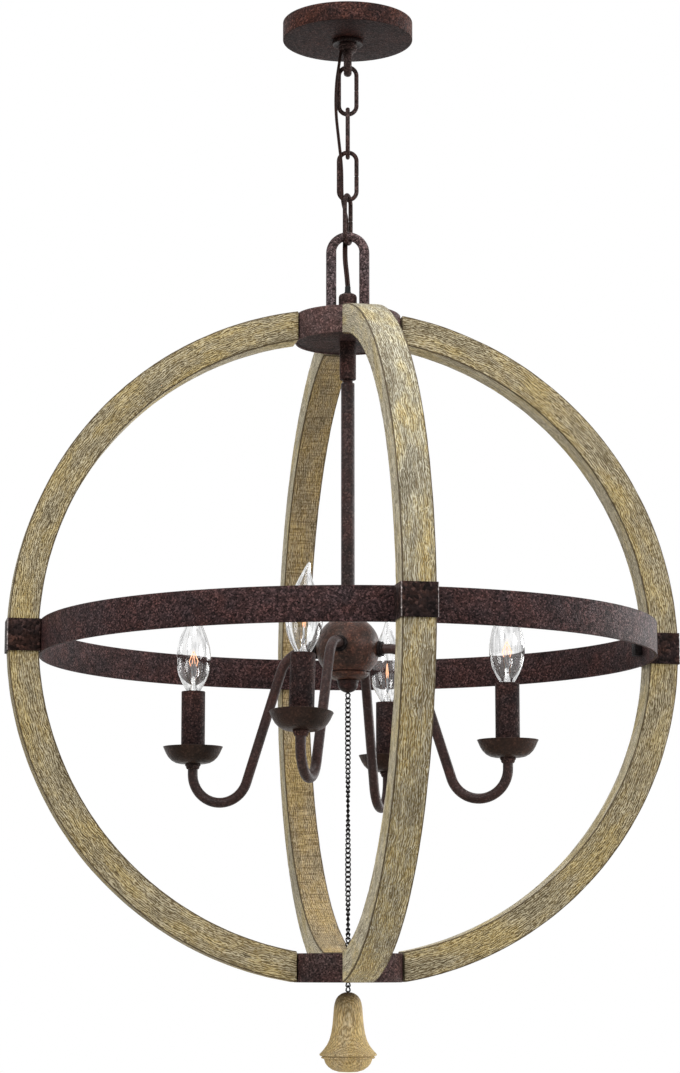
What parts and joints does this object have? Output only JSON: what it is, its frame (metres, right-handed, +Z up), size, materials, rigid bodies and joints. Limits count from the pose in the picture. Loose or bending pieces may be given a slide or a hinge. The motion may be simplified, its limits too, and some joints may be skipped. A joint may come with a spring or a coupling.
{
  "type": "ceiling light",
  "caption": "Hanging wooden orb light: crossed wood hoops with an iron band round candle-style lamps on curved arms, hung by chain from a round canopy, with a bell-shaped drop.",
  "frame": {"origin": "middle of the canopy's open rim, in the plane of the ceiling", "axes": "+Z up, along the chain; +X to the right of the picture; -Y towards the viewer"},
  "size_m": [0.6052, 0.6052, 0.9564],
  "materials": {
    "iron": "pebbled rust-brown",
    "chain_iron": "dark brown",
    "wood": "weathered grain",
    "bell_wood": "weathered grain",
    "zinc": "plated",
    "socket_shell": "matte",
    "lamp_metal": "satin",
    "clear_glass": "clear",
    "cord_jacket": "brown",
    "black_plastic": "matte"
  },
  "bodies": {
    "mount": {"canopy": "iron", "mounting_strap": "zinc", "strap_nut": "zinc", "canopy_rod": "zinc", "canopy_loop": "iron", "supply_cord": "cord_jacket"},
    "collar": {"screw_collar": "iron"},
    "link_1": {"link_1": "chain_iron"},
    "link_2": {"link_2": "chain_iron"},
    "link_3": {"link_3": "chain_iron"},
    "link_4": {"link_4": "chain_iron"},
    "bell": {"bell_chain": "chain_iron", "bell": "bell_wood"},
    "lamp_front": {"lamp_glass_front": "clear_glass", "lamp_base_front": "lamp_metal"},
    "lamp_right": {"lamp_glass_right": "clear_glass", "lamp_base_right": "lamp_metal"},
    "lamp_back": {"lamp_glass_back": "clear_glass", "lamp_base_back": "lamp_metal"},
    "lamp_left": {"lamp_glass_left": "clear_glass", "lamp_base_left": "lamp_metal"},
    "orb": {"arm_back": "iron", "arm_collars": "iron", "arm_front": "iron", "arm_left": "iron", "arm_right": "iron", "ball": "iron", "ball_cap": "iron", "band": "iron", "bottom_hub": "iron", "bottom_hub_plate": "iron", "clamp_bolts": "iron", "clamps": "iron", "cord_bushing": "black_plastic", "coupling": "iron", "cup_back": "iron", "cup_front": "iron", "cup_left": "iron", "cup_nuts": "iron", "cup_right": "iron", "fine_chain": "chain_iron", "finial": "iron", "hub_loop": "iron", "hub_nut": "iron", "hub_rod": "zinc", "rib_back": "wood", "rib_front": "wood", "rib_left": "wood", "rib_right": "wood", "rib_screws": "zinc", "sleeve_back": "iron", "sleeve_front": "iron", "sleeve_left": "iron", "sleeve_right": "iron", "sockets": "socket_shell", "stem": "iron", "stem_nipple": "zinc", "top_hub": "iron", "top_hub_plate": "iron"}
  },
  "joints": [
    {"name": "collar_turn", "type": "hinge", "parent": "mount", "child": "collar", "pos_m": [0, 0, -0.0191], "axis": [0, 0, 1], "range_deg": [-360, 360]},
    {"name": "link_1_swing", "type": "hinge", "parent": "mount", "child": "link_1", "pos_m": [0, 0, -0.048], "axis": [0, 1, 0], "range_deg": [-15, 15], "deforming": ["supply_cord"]},
    {"name": "link_2_swing", "type": "hinge", "parent": "link_1", "child": "link_2", "pos_m": [0, 0, -0.0877], "axis": [1, 0, 0], "range_deg": [-15, 15], "deforming": ["supply_cord"]},
    {"name": "link_3_swing", "type": "hinge", "parent": "link_2", "child": "link_3", "pos_m": [0, 0, -0.1285], "axis": [0, 1, 0], "range_deg": [-15, 15], "deforming": ["supply_cord"]},
    {"name": "link_4_swing", "type": "hinge", "parent": "link_3", "child": "link_4", "pos_m": [0, 0, -0.1693], "axis": [1, 0, 0], "range_deg": [-15, 15], "deforming": ["supply_cord"]},
    {"name": "orb_swing", "type": "hinge", "parent": "link_4", "child": "orb", "pos_m": [0, 0, -0.2101], "axis": [0, 1, 0], "range_deg": [-15, 15], "deforming": ["supply_cord"]},
    {"name": "bell_swing", "type": "hinge", "parent": "orb", "child": "bell", "pos_m": [0, 0, -0.87885], "axis": [1, 0, 0], "range_deg": [-25, 25]},
    {"name": "lamp_front_unscrew", "type": "slide", "parent": "orb", "child": "lamp_front", "axis": [0.0248, 0.0926, 0.9954], "range_m": [0, 0.03]},
    {"name": "lamp_right_unscrew", "type": "slide", "parent": "orb", "child": "lamp_right", "axis": [0, 0, 1], "range_m": [0, 0.03]},
    {"name": "lamp_back_unscrew", "type": "slide", "parent": "orb", "child": "lamp_back", "axis": [0, 0, 1], "range_m": [0, 0.03]},
    {"name": "lamp_left_unscrew", "type": "slide", "parent": "orb", "child": "lamp_left", "axis": [0, 0, 1], "range_m": [0, 0.03]}
  ]
}
